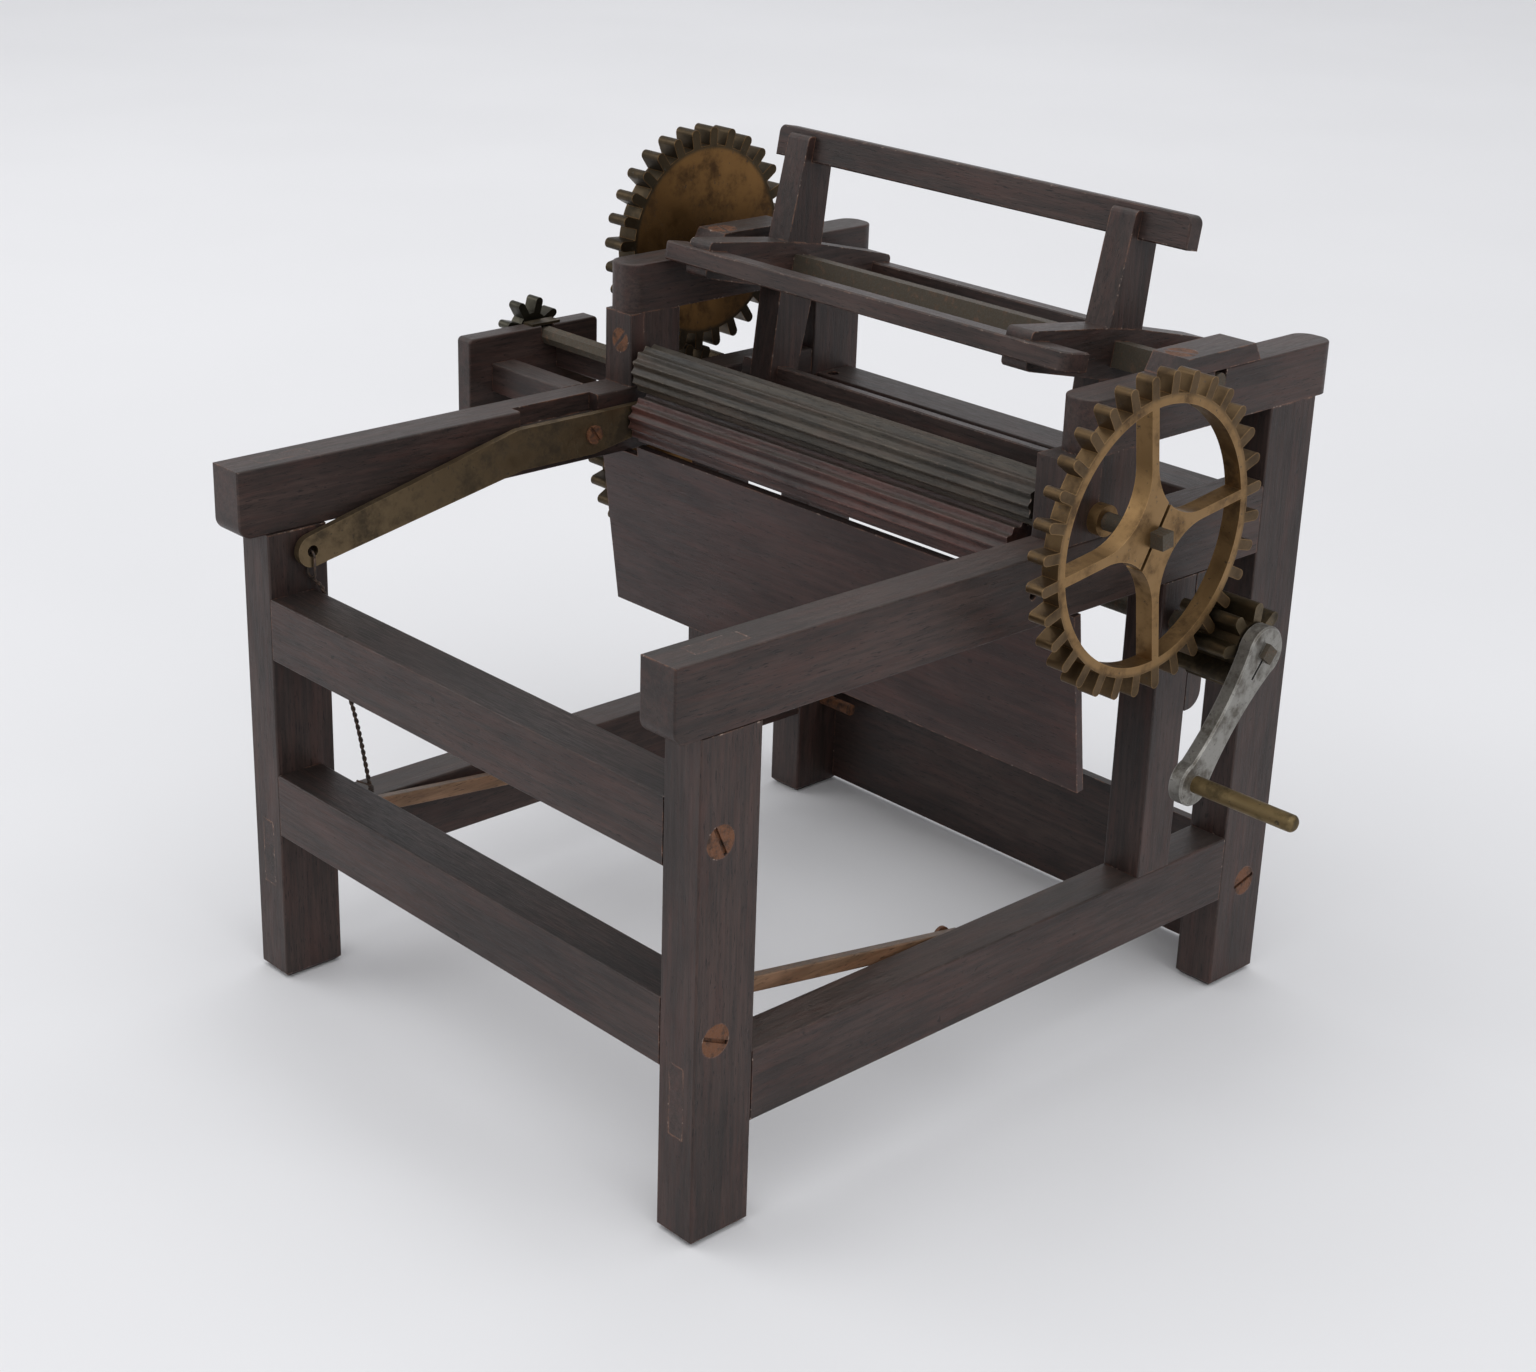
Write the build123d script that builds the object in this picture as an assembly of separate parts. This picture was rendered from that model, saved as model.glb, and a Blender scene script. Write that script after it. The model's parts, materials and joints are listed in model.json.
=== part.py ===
from build123d import *
import math
import os

# A hand cranked paper crimper: two fluted wooden rollers in a bench frame,
# a crank with a leaf pinion that turns them, and a skeleton reel that takes up
# the crimped paper.  All sizes are millimetres.
#
# The model is laid out from the machine's own datums: x from the middle plane
# between the side frames, y from the front face of the front posts, z from the
# floor.  The finished pieces are then moved so that the origin is the middle of
# the machine's bounding box, on the floor.

# ------------------------------------------------------------ driving dimensions
# Bench frame
frame_width = 190.0  # across the outer faces of the posts
frame_depth = 224.4  # front of the front posts to back of the rear posts
post_thickness = 12.9
front_post_depth = 19.0
rear_post_depth = 20.0
side_rail_bottom = 136.3  # height of the side rails' underside
side_rail_height = 19.4
side_rail_thickness = 12.3
side_rail_overhang = 8.3  # the side rails run past the front posts
rabbet_lead = 47.0  # a shallow step in the left side rail starts this far ahead of the rollers
rabbet_length = 29.0
rabbet_depth = 5.6
rabbet_width = 4.0
stretcher_bottom = 29.1
stretcher_height = 19.9
stretcher_thickness = 12.5
tenon_thickness = 5.0
tenon_margin = 1.2  # a tenon is this much narrower than its piece, each side
rear_tenon_length = 15.0
cross_rail_depth = 14.6
upper_cross_rail_bottom = 99.8
upper_cross_rail_height = 18.1
lower_cross_rail_bottom = 46.2
lower_cross_rail_height = 18.8
rear_rail_bottom = 129.6
rear_rail_height = 18.0
rear_rail_depth = 15.0
rear_rail_setback = 3.4  # from the rear posts' back faces
rear_hole_diameter = 4.0
rear_hole_depth = 6.0
rear_hole_inset = 3.6  # from the left rear post
rear_board_bottom = 2.0
rear_board_height = 39.0
rear_board_thickness = 2.9
edge_round = 0.6  # worn edges of the frame timber
foot_chamfer = 1.6  # the feet's worn lower edges
nose_round = 4.0  # lower front corner of the side rails

# Posts that carry the crank shaft
crank_post_lead = 6.1  # the post's front face stands this far ahead of the crank shaft
crank_post_depth = 13.8
crank_post_thickness = 12.4
backing_block_depth = 6.4
backing_block_height = 40.3
backing_block_width = 9.5
backing_block_round = 5.0

# Upper bearing stand: posts, keepers and cap rails
upper_post_depth = 14.4
upper_post_height = 22.1
stand_thickness = 12.0
left_keeper_depth = 5.0
right_keeper_depth = 11.5
cap_rail_height = 14.7
cap_rail_front_inset = 5.0  # the cap rail starts this far in front of the roller axis
cap_rail_overhang = 6.7  # behind the rear posts
cap_corner_round = 5.0
reel_cap_length = 34.0
reel_cap_height = 5.0
reel_cap_slope = 3.0

# Apron under the rollers
apron_thickness = 2.5
apron_drop = 52.3
apron_lean = 7.7  # degrees, bottom edge rearwards
apron_gap_ahead = 3.0  # top edge stands in front of the lower roller's axis
apron_rise = 2.8  # the middle stands this far above the rails' underside

# Outboard bearing bracket on the left
bracket_offset = 33.8  # from the left side rail to the bracket rail
bracket_thickness = 6.3
bracket_lead = 30.5  # the bracket rail starts this far ahead of the roller shaft
bracket_length = 50.5
bracket_bottom = 137.2
bracket_height = 27.2
bracket_round = 1.5
front_arm_lead = 22.0  # from the arm's front face to the roller shaft
front_arm_depth = 9.0
front_arm_height = 9.0
rear_arm_setback = 3.2  # the arm's front face lies this far behind the roller shaft
rear_arm_depth = 7.3
rear_arm_bottom = 150.6
rear_arm_height = 7.9
strap_length = 11.0
strap_width = 4.4
strap_thickness = 0.8

# Rollers
roller_from_back = 90.4  # from the roller shaft to the rear posts' back faces
roller_axis_above_rail = 5.6
roller_radius = 7.5
flute_count = 14
flute_depth = 1.0
lower_roller_setback = 3.0  # the lower axis lies this far in front of the upper one
roller_centre_distance = 14.3
upper_roller_left_gap = 3.0  # between the roller's end and the upper post
upper_roller_right_gap = 5.0
lower_roller_left_gap = 1.0  # between the roller's end and the lever
lower_roller_right_gap = 5.6
roller_shaft_flats = 5.5
journal_radius = 2.4
axle_radius = 2.0
bush_radius = 4.2
bush_length = 3.2

# Drive gear and leaf pinion
drive_teeth = 32
pinion_leaves = 8
drive_module = 2.61
drive_angle = -45.0  # direction from the roller axis to the crank axis, degrees
drive_gear_from_frame = 13.8
drive_gear_thickness = 5.2
drive_tip_radius = 42.6
drive_root_radius = 36.8
drive_rim_inner = 34.2
drive_tooth_width = 2.9
drive_tooth_phase = 7.5
spoke_count = 4
spoke_width = 2.6
hub_hollow_radius = 17.3  # the round that each pair of spokes runs into at the hub
hub_slot_length = 20.0
hub_slot_width = 1.2
hub_slot_angle = 60.0
roller_shaft_proud = 4.0  # the squared end beyond the drive gear
pinion_from_frame = 7.0
pinion_length = 18.5
pinion_tip_radius = 12.4
pinion_root_radius = 7.3
pinion_leaf_width = 3.4

# Crank
crank_shaft_radius = 3.0
shaft_square = 4.2  # squared ends of the crank shaft and of the roller shaft
crank_length = 39.3
crank_rest_angle = -129.3  # direction of the arm from the shaft, degrees from +y to +z
crank_arm_thickness = 4.0
crank_arm_gap = 0.6  # between the pinion and the arm
crank_head_radius = 7.2
crank_boss_radius = 6.2
crank_waist = 8.2
crank_waist_place = 21.5  # from the shaft
crank_head_leave = 62.0  # where the arm's edge leaves the head, degrees from the arm's line
crank_boss_meet = 125.0  # where it meets the boss
crank_edge_chamfer = 0.5
crank_slit_length = 6.0
crank_slit_width = 0.9
crank_shaft_proud = 1.4
handle_radius = 2.35
handle_length = 31.8
handle_end_round = 1.4

# Reel drive: two plain gears on the left, with straight round-ended teeth
reel_gear_teeth = 28
crank_gear_teeth = 26
reel_module = 2.426
reel_gear_tip_radius = 35.2
reel_gear_root_radius = 29.6
crank_gear_tip_radius = 32.2
crank_gear_root_radius = 26.8
reel_tooth_width = 3.2
reel_gear_from_frame = 12.0
reel_gear_thickness = 7.6
reel_direction = 82.0  # direction from the crank axis to the reel axis, degrees
reel_tooth_phase = 9.0

# Star pinion on the outboard end of the roller shaft
star_teeth = 8
star_tip_radius = 10.4
star_root_radius = 5.6
star_tooth_width = 2.6
star_tooth_phase = 29.5
star_thickness = 5.0
star_gap = 1.0

# Reel
reel_shaft_square = 7.0
reel_journal_radius = 2.4
reel_turn = 10.3  # the reel stands turned this many degrees from upright
left_cross_gap = 10.2  # between the cross and the cap rail
right_cross_gap = 21.6
cross_thickness = 8.8
cross_arm_width = 14.0
cross_tip_width = 10.6
cross_tip_radius = 38.6
cross_end_round = 1.6
bar_radius = 35.7  # from the reel axis to the middle of a bar
bar_depth = 9.2
bar_thickness = 5.4
bar_left_gap = 3.0  # between the bars' ends and the cap rails
bar_right_gap = 5.4
front_bar_shift = 2.4  # the front bar sits this much further left than the others
bar_end_round = 2.4
bar_edge_chamfer = 0.4
bar_count = 4
front_bar_index = 3  # the bars are counted from the top one, over the back

# Pressure levers, pull wires and spring sticks
lever_thickness = 2.2
lever_to_post = 1.3
lever_hole_y = 12.0
lever_hole_z = 130.4
lever_hole_radius = 1.7
lever_pivot_lead = 23.0  # ahead of the roller shaft
lever_pivot_z = 145.5
lever_front_radius = 4.6
lever_middle_lead = 50.0  # ahead of the roller shaft
lever_middle_z = 145.6
lever_middle_radius = 6.2
lever_rear_radius = 4.6
stick_height = 4.5
stick_thickness = 2.8
stick_edge_round = 0.5
stick_front_y = 26.0
stick_rear_y = 104.0
stick_overhang = 4.0  # wood behind the stick's screw
right_stick_front_z = 57.6
right_stick_rear_z = 44.4
left_stick_front_z = 48.6
left_stick_rear_z = 40.4
wire_radius = 0.35
twist_radius = 0.6  # the two twisted strands together
wire_from_stick_front = 3.4
stick_loop_slack = 3.9  # the lower loop is this much taller than its stick, so the stick can tilt in it
wire_behind_rail = 1.9  # the wire hangs this far behind the front cross rail
wire_rail_slant = 1.0  # it leans rearwards by this much down the rail
wire_bend_radius = 6.0
wire_knot_radius = 0.95  # the wrapped turns where the twist meets each loop
wire_knee_forward = 5.0  # how far the wire's knee stands in front of its lower loop
wire_knee_up = 30.0

# Screws
screw_head_radius = 4.3
screw_head_height = 1.6
screw_shank_radius = 1.9
screw_length = 26.0
screw_slot_width = 1.1
screw_slot_depth = 0.8
small_head_radius = 2.8
small_head_height = 1.0
small_shank_radius = 1.2
small_screw_length = 9.0
pivot_screw_length = 13.0
front_screw_setback = 6.6  # from the front posts' front faces
upper_screw_height = 9.2  # above the upper cross rail's underside
lower_screw_height = 10.1  # above the lower cross rail's underside
rear_screw_inset = 8.6  # from the rear posts' back faces
rear_screw_height = 2.9  # above the stretcher's underside
frame_slot_turns = (25.0, 65.0, 105.0)  # how the screws' slots stand, degrees
cap_slot_turn = 20.0
keeper_head_radius = 3.6
keeper_screw_height = 8.0  # above the roller axis
keeper_screw_inward = 1.0  # from the middle of the stand's width
keeper_slot_turn = 48.0
pivot_slot_turn = 35.0
stick_slot_turn = 75.0

# Fits
running_gap = 0.08  # radial gap of a turning fit
side_gap = 0.4  # between a turning piece and the wood beside it
cut_past = 1.0  # how far a cut runs beyond the faces it goes through

# ------------------------------------------------------------ places worked out
half_width = frame_width / 2
side_rail_top = side_rail_bottom + side_rail_height
stretcher_top = stretcher_bottom + stretcher_height
rear_post_front = frame_depth - rear_post_depth
cap_rail_bottom = side_rail_top + upper_post_height
cap_rail_top = cap_rail_bottom + cap_rail_height
stand_inner = half_width - stand_thickness
rail_inner = half_width - side_rail_thickness
post_inner = half_width - post_thickness
frame_screws = [  # y, z on each side
    (front_screw_setback, upper_cross_rail_bottom + upper_screw_height),
    (front_screw_setback, lower_cross_rail_bottom + lower_screw_height),
    (frame_depth - rear_screw_inset, stretcher_bottom + rear_screw_height),
]

roller_axis_y = frame_depth - roller_from_back
roller_axis_z = side_rail_top + roller_axis_above_rail
lower_axis_y = roller_axis_y - lower_roller_setback
lower_axis_z = roller_axis_z - math.sqrt(roller_centre_distance**2 - lower_roller_setback**2)

drive_centre_distance = drive_module * (drive_teeth + pinion_leaves) / 2
crank_axis_y = roller_axis_y + drive_centre_distance * math.cos(math.radians(drive_angle))
crank_axis_z = roller_axis_z + drive_centre_distance * math.sin(math.radians(drive_angle))
crank_post_front = crank_axis_y - crank_post_lead

reel_centre_distance = reel_module * (reel_gear_teeth + crank_gear_teeth) / 2
reel_axis_y = crank_axis_y + reel_centre_distance * math.cos(math.radians(reel_direction))
reel_axis_z = crank_axis_z + reel_centre_distance * math.sin(math.radians(reel_direction))

drive_gear_inner_face = half_width + drive_gear_from_frame
drive_gear_outer_face = drive_gear_inner_face + drive_gear_thickness
reel_gear_inner_face = half_width + reel_gear_from_frame
reel_gear_outer_face = reel_gear_inner_face + reel_gear_thickness
pinion_inner_face = half_width + pinion_from_frame
pinion_outer_face = pinion_inner_face + pinion_length

bracket_inner = half_width + bracket_offset
bracket_outer = bracket_inner + bracket_thickness
star_inner_face = bracket_outer + star_gap
star_outer_face = star_inner_face + star_thickness
crank_arm_inner_face = pinion_outer_face + crank_arm_gap
crank_arm_outer_face = crank_arm_inner_face + crank_arm_thickness
handle_end = crank_arm_outer_face + handle_length

lever_outer = post_inner - lever_to_post
lever_inner = lever_outer - lever_thickness
lever_middle_x = (lever_outer + lever_inner) / 2
lever_pivot_y = roller_axis_y - lever_pivot_lead
lever_middle_y = roller_axis_y - lever_middle_lead
stick_outer = lever_middle_x + stick_thickness / 2
stick_inner = lever_middle_x - stick_thickness / 2

centre_x = (handle_end - star_outer_face) / 2
centre_y = (frame_depth + cap_rail_overhang - side_rail_overhang) / 2

os.makedirs("parts", exist_ok=True)


# ------------------------------------------------------------ helpers
def block(x_span, y_span, z_span):
    """A straight piece with faces at the given x, y and z values."""
    spans = [sorted(x_span), sorted(y_span), sorted(z_span)]
    sizes = [high - low for low, high in spans]
    middles = [(high + low) / 2 for low, high in spans]
    return Pos(*middles) * Box(*sizes)


def rod(radius, x_from, x_to, y, z):
    """A round bar along x."""
    length = abs(x_to - x_from)
    return Pos((x_from + x_to) / 2, y, z) * Rot(0, 90, 0) * Cylinder(radius, length)


def square_bar(across, x_from, x_to, y, z, turn=0.0):
    """A square bar along x, turned about its axis."""
    bar = Box(abs(x_to - x_from), across, across)
    return Pos((x_from + x_to) / 2, y, z) * Rot(turn, 0, 0) * bar


def plate(profile, x_from, x_to, y=0.0, z=0.0, turn=0.0):
    """A flat piece across x: the profile is drawn with its x as y and its y as z."""
    low, high = sorted((x_from, x_to))
    upright = Plane(origin=(low, y, z), x_dir=(0, 1, 0), z_dir=(1, 0, 0))
    return extrude(upright * Rot(0, 0, turn) * profile, amount=high - low)


def polar(radius, degrees):
    """The point at that radius and direction."""
    return (radius * math.cos(math.radians(degrees)), radius * math.sin(math.radians(degrees)))


def outline(points):
    """A flat face with straight sides through the points."""
    return make_face(Polyline(*points, close=True))


def save(name, *pieces):
    """Write the pieces as one node, moved to the machine's own origin."""
    moved = [Pos(-centre_x, -centre_y, 0) * piece for piece in pieces]
    solids = [solid for piece in moved for solid in piece.solids()]
    shape = solids[0] if len(solids) == 1 else Compound(children=solids)
    export_step(shape, f"parts/{name}.step")


def side_name(side):
    """Left is -x and right is +x, seen from the front."""
    return "left" if side < 0 else "right"


# ------------------------------------------------------------ screws
def slotted_screw(head_radius, head_height, shank_radius, length, slot_turn):
    """A screw along +z with the top of its slotted head at z = 0."""
    head = Pos(0, 0, -head_height / 2) * Cylinder(head_radius, head_height)
    shank = Pos(0, 0, -(head_height + length) / 2) * Cylinder(shank_radius, length - head_height)
    slot = Box(2.5 * head_radius, screw_slot_width, 2 * screw_slot_depth)
    return head + shank - Rot(0, 0, slot_turn) * slot


def large_screw(length, slot_turn):
    return slotted_screw(screw_head_radius, screw_head_height, screw_shank_radius, length, slot_turn)


def small_screw(length, slot_turn):
    return slotted_screw(small_head_radius, small_head_height, small_shank_radius, length, slot_turn)


def side_screw(side, y, z, slot_turn):
    """A frame screw driven into a post towards the middle plane."""
    return Pos(side * half_width, y, z) * Rot(0, 90 * side, 0) * large_screw(screw_length, slot_turn)


def side_screw_hole(side, y, z):
    """The countersunk hole for a frame screw, cut from a post and from what it holds."""
    head_from = side * half_width
    head_to = side * (half_width - screw_head_height)
    shank_to = side * (half_width - screw_length)
    head = rod(screw_head_radius, head_from, head_to, y, z)
    return head + rod(screw_shank_radius, head_from, shank_to, y, z)


# ------------------------------------------------------------ bench frame
def tenon_x(side):
    """The x faces of the tenons in a side frame, in the middle of the post."""
    middle = side * (half_width - post_thickness / 2)
    return (middle - tenon_thickness / 2, middle + tenon_thickness / 2)


def post_blank(side, y_span, top):
    """A corner post with a worn foot and rounded corners."""
    blank = block((side * half_width, side * post_inner), y_span, (0, top))
    foot = blank.faces().sort_by(Axis.Z)[0]
    blank = chamfer(foot.edges(), foot_chamfer)
    return fillet(blank.edges().filter_by(Axis.Z), edge_round)


def front_post(side):
    post = post_blank(side, (0, front_post_depth), side_rail_bottom)
    tenon_y = (tenon_margin, front_post_depth - tenon_margin)
    post += block(tenon_x(side), tenon_y, (side_rail_bottom - tenon_margin, side_rail_top))
    post -= stretcher_front_tenon(side)
    for y, z in frame_screws[:2]:
        post -= side_screw_hole(side, y, z)
    return post


def rear_post(side):
    post = post_blank(side, (rear_post_front, frame_depth), cap_rail_bottom)
    post -= stretcher_rear_tenon(side)
    y, z = frame_screws[2]
    return post - side_screw_hole(side, y, z)


def side_rail(side):
    x_span = (side * half_width, side * rail_inner)
    rail = block(x_span, (-side_rail_overhang, rear_post_front), (side_rail_bottom, side_rail_top))
    front_bottom = rail.edges().filter_by(Axis.X).sort_by(Axis.Y)[:2].sort_by(Axis.Z)[0]
    rail = fillet(front_bottom, nose_round)
    rail = fillet(rail.edges().filter_by(Axis.Y), edge_round)
    tenon_y = (tenon_margin, front_post_depth - tenon_margin)
    rail -= block(tenon_x(side), tenon_y, (side_rail_bottom, side_rail_top))
    pivot_x = side * (lever_outer + screw_length)
    rail -= rod(small_shank_radius, side * rail_inner, pivot_x, lever_pivot_y, lever_pivot_z)
    if side < 0:
        step_x = (-rail_inner, -rail_inner - rabbet_width)
        rabbet_front = roller_axis_y - rabbet_lead
        step_y = (rabbet_front, rabbet_front + rabbet_length)
        rail -= block(step_x, step_y, (side_rail_top - rabbet_depth, side_rail_top))
    return rail


def stretcher_front_tenon(side):
    return block(tenon_x(side), (0, front_post_depth), (stretcher_bottom, stretcher_top))


def stretcher_rear_tenon(side):
    y_span = (rear_post_front, rear_post_front + rear_tenon_length)
    return block(tenon_x(side), y_span, (stretcher_bottom, stretcher_top))


def stretcher(side):
    x_span = (side * half_width, side * (half_width - stretcher_thickness))
    rail = block(x_span, (front_post_depth, rear_post_front), (stretcher_bottom, stretcher_top))
    rail = fillet(rail.edges().filter_by(Axis.Y), edge_round)
    rail += stretcher_front_tenon(side)
    rail += stretcher_rear_tenon(side)
    y, z = frame_screws[2]
    rail -= side_screw_hole(side, y, z)
    return rail - stick_screw(side)


def front_cross_rail(bottom, height, screw_place):
    rail = block((-post_inner, post_inner), (0, cross_rail_depth), (bottom, bottom + height))
    rail = fillet(rail.edges().filter_by(Axis.X), edge_round)
    for side in (-1, 1):
        rail -= side_screw_hole(side, *screw_place)
    return rail


def rear_cross_rail():
    rail_back = frame_depth - rear_rail_setback
    y_span = (rail_back - rear_rail_depth, rail_back)
    top = rear_rail_bottom + rear_rail_height
    rail = block((-post_inner, post_inner), y_span, (rear_rail_bottom, top))
    rail = fillet(rail.edges().filter_by(Axis.X), edge_round)
    hole_y = rail_back - rear_rail_depth + rear_hole_diameter
    hole = Cylinder(rear_hole_diameter / 2, 2 * rear_hole_depth)
    return rail - Pos(rear_hole_inset - post_inner, hole_y, top) * hole


def rear_board():
    y_span = (frame_depth - rear_board_thickness, frame_depth)
    z_span = (rear_board_bottom, rear_board_bottom + rear_board_height)
    return block((-post_inner, post_inner), y_span, z_span)


def crank_post(side):
    x_span = (side * half_width, side * (half_width - crank_post_thickness))
    y_span = (crank_post_front, crank_post_front + crank_post_depth)
    post = block(x_span, y_span, (stretcher_top, side_rail_bottom))
    post = fillet(post.edges().filter_by(Axis.Z), edge_round)
    bore = crank_shaft_radius + running_gap
    return post - rod(bore, side * (half_width + cut_past), 0, crank_axis_y, crank_axis_z)


def backing_block():
    back = crank_post_front + crank_post_depth
    x_span = (half_width - backing_block_width, half_width)
    y_span = (back, back + backing_block_depth)
    piece = block(x_span, y_span, (side_rail_bottom - backing_block_height, side_rail_bottom))
    lower_rear = piece.edges().filter_by(Axis.X).sort_by(Axis.Z)[:2].sort_by(Axis.Y)[-1]
    return fillet(lower_rear, backing_block_round)


# ------------------------------------------------------------ upper bearing stand
def stand_x(side):
    return (side * half_width, side * stand_inner)


def upper_post(side):
    y_span = (roller_axis_y, roller_axis_y + upper_post_depth)
    post = block(stand_x(side), y_span, (side_rail_top, cap_rail_bottom))
    rear_edges = post.edges().filter_by(Axis.Z).sort_by(Axis.Y)[2:]
    post = fillet(rear_edges, edge_round)
    bore = journal_radius + running_gap
    post -= rod(bore, 0, 2 * side * half_width, roller_axis_y, roller_axis_z)
    return post - keeper_screw() if side < 0 else post


def keeper(side):
    depth = left_keeper_depth if side < 0 else right_keeper_depth
    y_span = (roller_axis_y - depth, roller_axis_y)
    piece = block(stand_x(side), y_span, (side_rail_top, cap_rail_bottom))
    front_edges = piece.edges().filter_by(Axis.Z).sort_by(Axis.Y)[:2]
    piece = fillet(front_edges, edge_round)
    bore = journal_radius + running_gap
    piece -= rod(bore, 0, 2 * side * half_width, roller_axis_y, roller_axis_z)
    return piece - keeper_screw() if side < 0 else piece


def keeper_screw():
    """The screw in the front of the left keeper."""
    x = keeper_screw_inward - half_width + stand_thickness / 2
    z = roller_axis_z + keeper_screw_height
    screw = slotted_screw(
        keeper_head_radius, small_head_height, small_shank_radius, small_screw_length, keeper_slot_turn
    )
    return Pos(x, roller_axis_y - left_keeper_depth, z) * Rot(90, 0, 0) * screw


def cap_rail(side):
    y_span = (roller_axis_y - cap_rail_front_inset, frame_depth + cap_rail_overhang)
    rail = block(stand_x(side), y_span, (cap_rail_bottom, cap_rail_top))
    rail = fillet(rail.edges().filter_by(Axis.Z), cap_corner_round)
    rail = fillet(rail.faces().sort_by(Axis.Z)[-1].edges(), edge_round)
    notch = reel_journal_radius + running_gap
    x_all = (0, 2 * side * half_width)
    rail -= rod(notch, *x_all, reel_axis_y, reel_axis_z)
    y_notch = (reel_axis_y - notch, reel_axis_y + notch)
    rail -= block(x_all, y_notch, (reel_axis_z, cap_rail_top + cut_past))
    return rail - reel_cap_screw(side)


def reel_cap(side):
    """The block that holds the reel's journal down, with sloped ends."""
    half = reel_cap_length / 2
    top = half - reel_cap_slope
    profile = outline([(-half, 0), (half, 0), (top, reel_cap_height), (-top, reel_cap_height)])
    cap = plate(profile, *stand_x(side), reel_axis_y, cap_rail_top)
    return cap - reel_cap_screw(side)


def reel_cap_screw(side):
    x = side * (half_width - stand_thickness / 2)
    y = reel_axis_y - reel_cap_length / 2 + reel_cap_slope + screw_head_radius
    screw = large_screw(cap_rail_height, cap_slot_turn * side)
    return Pos(x, y, cap_rail_top + reel_cap_height) * screw


# ------------------------------------------------------------ apron
def apron():
    """The board that hangs under the rails, its middle raised between them."""
    shoulder = half_width
    middle = lever_inner - side_gap
    profile = outline(
        [
            (-shoulder, -apron_drop),
            (shoulder, -apron_drop),
            (shoulder, 0),
            (middle, 0),
            (middle, apron_rise),
            (-middle, apron_rise),
            (-middle, 0),
            (-shoulder, 0),
        ]
    )
    board = extrude(Plane.XZ * profile, amount=apron_thickness)
    top_y = lower_axis_y - apron_gap_ahead + apron_thickness
    lean_drop = apron_thickness * math.sin(math.radians(apron_lean))
    return Pos(0, top_y, side_rail_bottom - lean_drop) * Rot(apron_lean, 0, 0) * board


# ------------------------------------------------------------ outboard bracket
def bracket_rail():
    x_span = (-bracket_outer, -bracket_inner)
    bracket_front = roller_axis_y - bracket_lead
    y_span = (bracket_front, bracket_front + bracket_length)
    top = bracket_bottom + bracket_height
    rail = block(x_span, y_span, (bracket_bottom, top))
    rail = fillet(rail.edges().filter_by(Axis.X), bracket_round)
    rail = fillet(rail.edges().filter_by(Axis.Y), edge_round)
    notch = journal_radius + running_gap
    x_all = (-bracket_outer - cut_past, -bracket_inner + cut_past)
    rail -= rod(notch, *x_all, roller_axis_y, roller_axis_z)
    y_notch = (roller_axis_y - notch, roller_axis_y + notch)
    return rail - block(x_all, y_notch, (roller_axis_z, top + cut_past))


def bracket_front_arm():
    front_arm_y = roller_axis_y - front_arm_lead
    y_span = (front_arm_y, front_arm_y + front_arm_depth)
    z_span = (side_rail_top - front_arm_height, side_rail_top)
    arm = block((-bracket_inner, -half_width), y_span, z_span)
    return fillet(arm.edges().filter_by(Axis.X), edge_round)


def bracket_rear_arm():
    rear_arm_y = roller_axis_y + rear_arm_setback
    y_span = (rear_arm_y, rear_arm_y + rear_arm_depth)
    z_span = (rear_arm_bottom, rear_arm_bottom + rear_arm_height)
    arm = block((-bracket_inner, -half_width), y_span, z_span)
    return fillet(arm.edges().filter_by(Axis.X), edge_round)


def bracket_strap():
    """The brass strap over the shaft, on top of the bracket rail."""
    top = bracket_bottom + bracket_height
    middle = (bracket_inner + bracket_outer) / 2
    x_span = (-middle - strap_width / 2, -middle + strap_width / 2)
    y_span = (roller_axis_y - strap_length / 2, roller_axis_y + strap_length / 2)
    return block(x_span, y_span, (top, top + strap_thickness))


# ------------------------------------------------------------ gears
def finger_gear(root_radius, tip_radius, width, count, phase):
    """A disc with straight fingers that end in half rounds, one centred on the phase angle."""
    gear = Circle(root_radius)
    reach = tip_radius - width / 2
    foot = root_radius - width
    finger = Pos((foot + reach) / 2, 0) * Rectangle(reach - foot, width)
    finger += Pos(reach, 0) * Circle(width / 2)
    for index in range(count):
        gear += Rot(0, 0, phase + index * 360 / count) * finger
    return gear


def spoke_windows():
    """The windows between the drive gear's spokes, round towards the hub."""
    half_angle = 180 / spoke_count
    apex = spoke_width / 2 / math.sin(math.radians(half_angle))
    far_x, far_y = polar(2 * drive_rim_inner, half_angle)
    wedge = outline([(apex, 0), (apex + far_x, far_y), (apex + far_x, -far_y)])
    wedge = fillet(wedge.vertices().sort_by(Axis.X)[0], hub_hollow_radius)
    window = wedge & Circle(drive_rim_inner)
    windows = []
    for index in range(spoke_count):
        turn = drive_tooth_phase + (index + 0.5) * 360 / spoke_count
        windows.append(Rot(0, 0, turn) * window)
    return windows


def drive_gear():
    gear = finger_gear(
        drive_root_radius, drive_tip_radius, drive_tooth_width, drive_teeth, drive_tooth_phase
    )
    for window in spoke_windows():
        gear -= window
    gear -= Rot(0, 0, hub_slot_angle) * Rectangle(hub_slot_length, hub_slot_width)
    gear -= Rot(0, 0, drive_tooth_phase) * Rectangle(shaft_square, shaft_square)
    return plate(gear, drive_gear_inner_face, drive_gear_outer_face, roller_axis_y, roller_axis_z)


def meshing_phase(line, teeth, phase, mate_teeth):
    """The mate's tooth angle at which its spaces take the teeth of the first gear.

    The line runs from the first gear's axis to the mate's, in degrees.
    """
    tooth_pitch = 360 / teeth
    past_tooth = (line - phase) - tooth_pitch * round((line - phase) / tooth_pitch)
    return line + 180 + 180 / mate_teeth + past_tooth * teeth / mate_teeth


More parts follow.
